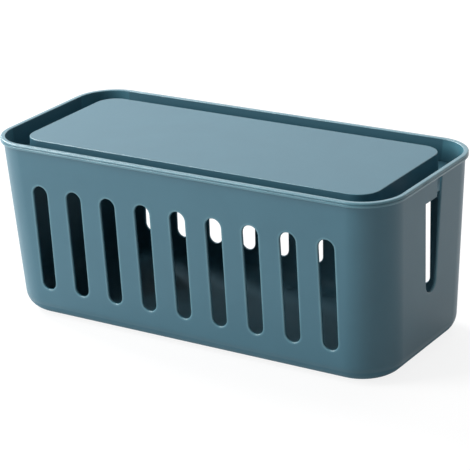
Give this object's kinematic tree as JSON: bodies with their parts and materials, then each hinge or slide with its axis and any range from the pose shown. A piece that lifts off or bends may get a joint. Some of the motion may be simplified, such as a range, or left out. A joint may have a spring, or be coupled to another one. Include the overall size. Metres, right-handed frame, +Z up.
{
  "type": "cable management box",
  "caption": "Moulded box for a power strip: vented tub with rounded corners, stepped rim, a cable opening in the right-hand end and a drop-in lid with a raised panel.",
  "frame": {"origin": "on the table under the middle of the box, at the underside of the grip pads", "axes": "+X along the box towards its right-hand end, -Y towards the front long wall, +Z up"},
  "size_m": [0.32, 0.14, 0.131],
  "materials": {
    "tub_plastic": "satin blue-grey moulded plastic",
    "lid_plastic": "satin blue-grey moulded plastic",
    "pad_rubber": "matt dark rubber"
  },
  "bodies": {
    "tub": {"tub": "tub_plastic", "pad_front_left": "pad_rubber", "pad_front_right": "pad_rubber", "pad_back_left": "pad_rubber", "pad_back_right": "pad_rubber"},
    "lid": {"lid": "lid_plastic"}
  },
  "joints": [
    {"name": "lid_lift", "type": "slide", "parent": "tub", "child": "lid", "axis": [0, 0, 1], "range_m": [0, 0.06]}
  ]
}
